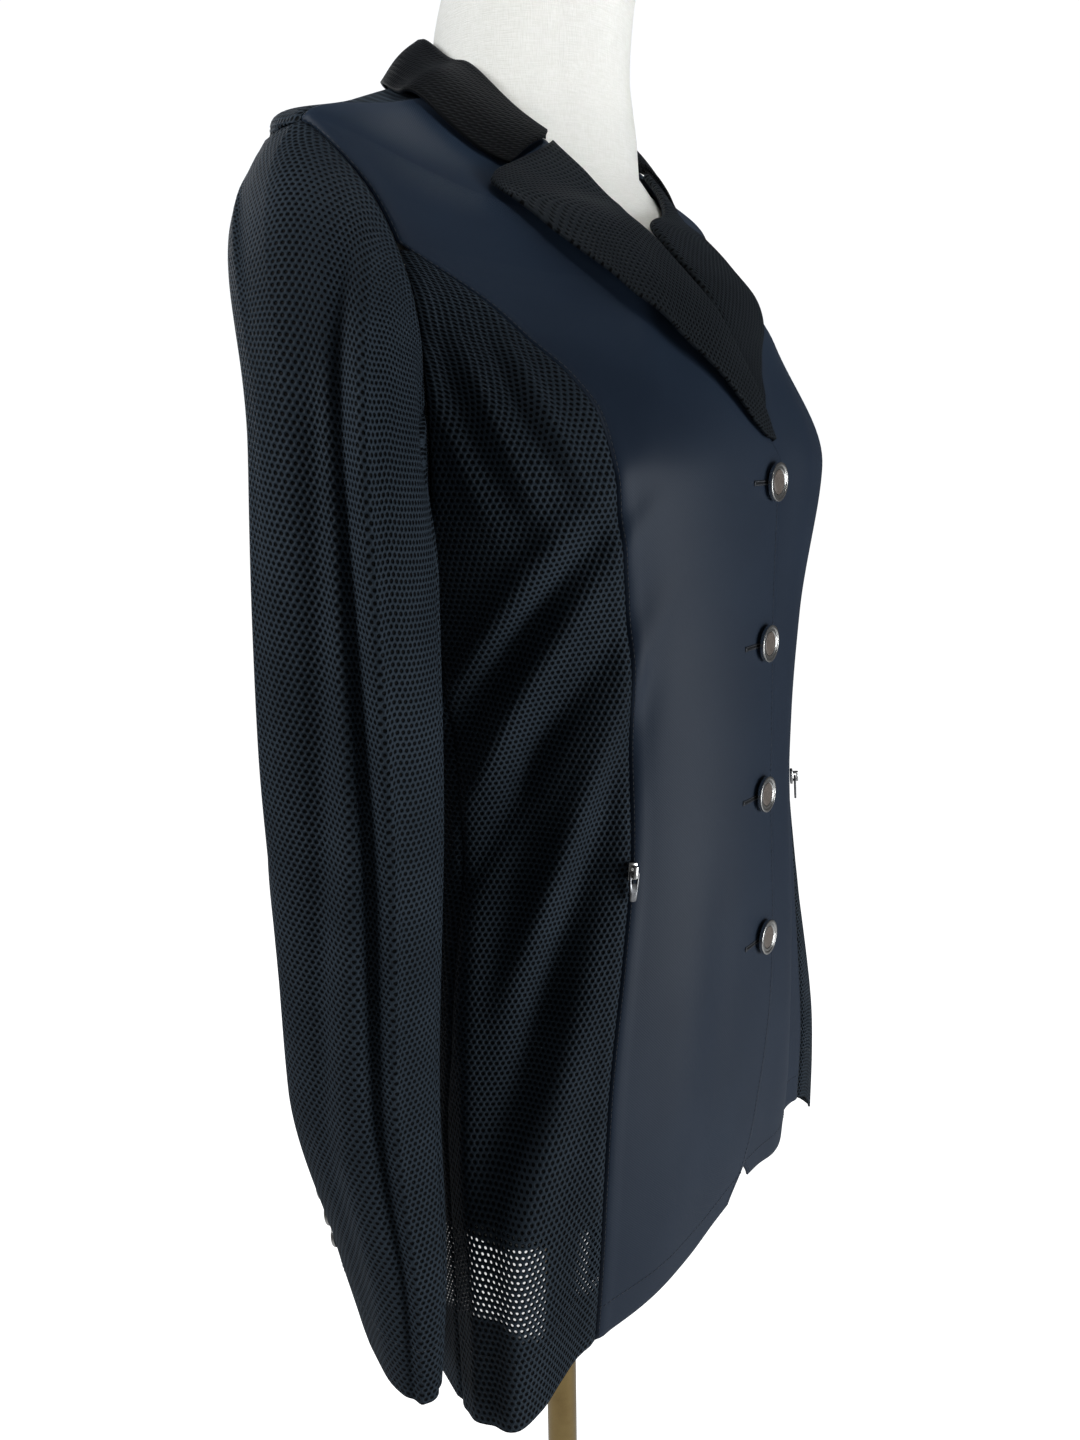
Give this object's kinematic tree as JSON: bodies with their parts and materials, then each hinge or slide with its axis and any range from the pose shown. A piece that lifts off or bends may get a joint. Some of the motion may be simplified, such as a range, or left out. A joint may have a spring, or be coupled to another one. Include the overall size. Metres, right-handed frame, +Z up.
{
  "type": "equestrian show coat on a limbless dress form and stand",
  "caption": "Fitted riding show coat with notched lapels, mesh sides and sleeves, hip zips and metal buttons, worn by a limbless dress form on a pole stand.",
  "frame": {"origin": "centre of the stand base's underside", "axes": "+Z up, the coat's front faces -Y, the wearer's left is +X"},
  "size_m": [0.48, 0.48, 1.58],
  "materials": {
    "smooth_navy": "smooth four-way stretch cloth, matt, dark navy",
    "navy_mesh": "open hexagonal sports mesh, near-black navy",
    "fine_mesh": "finer pierced mesh on the collar and lapels",
    "zip_tape_navy": "woven zip tape",
    "silver_metal": "bright silver plate",
    "taupe_inlay": "glossy taupe-brown inlay",
    "white_linen": "plain-woven off-white linen cover",
    "polished_brass": "polished, with vertical reflections"
  },
  "bodies": {
    "coat_and_stand": {"front_right": "smooth_navy", "front_left": "smooth_navy", "side_right": "navy_mesh", "side_left": "navy_mesh", "back": "navy_mesh", "sleeve_top_right": "navy_mesh", "sleeve_under_right": "navy_mesh", "sleeve_top_left": "navy_mesh", "sleeve_under_left": "navy_mesh", "lapel_right": "fine_mesh", "lapel_left": "fine_mesh", "collar": "fine_mesh", "front_button_1": "silver_metal", "front_button_1_inlay": "taupe_inlay", "front_button_2": "silver_metal", "front_button_2_inlay": "taupe_inlay", "front_button_3": "silver_metal", "front_button_3_inlay": "taupe_inlay", "front_button_4": "silver_metal", "front_button_4_inlay": "taupe_inlay", "cuff_button_right_1": "silver_metal", "cuff_button_right_2": "silver_metal", "cuff_button_right_3": "silver_metal", "zip_tape_right": "zip_tape_navy", "zip_slider_right": "silver_metal", "cuff_button_left_1": "silver_metal", "cuff_button_left_2": "silver_metal", "cuff_button_left_3": "silver_metal", "zip_tape_left": "zip_tape_navy", "zip_slider_left": "silver_metal", "dress_form": "white_linen", "stand_pole": "polished_brass", "stand_base": "polished_brass"},
    "right_pull": {"zip_pull_right": "silver_metal"},
    "left_pull": {"zip_pull_left": "silver_metal"}
  },
  "joints": [
    {"name": "right_pull_hinge", "type": "hinge", "parent": "coat_and_stand", "child": "right_pull", "pos_m": [-0.09778, -0.11734, 1.06323], "axis": [-0.8456, 0.5194, 0.1233], "range_deg": [0, 165]},
    {"name": "left_pull_hinge", "type": "hinge", "parent": "coat_and_stand", "child": "left_pull", "pos_m": [0.09695, -0.11649, 1.06287], "axis": [-0.8786, -0.46, -0.128], "range_deg": [0, 165]}
  ]
}
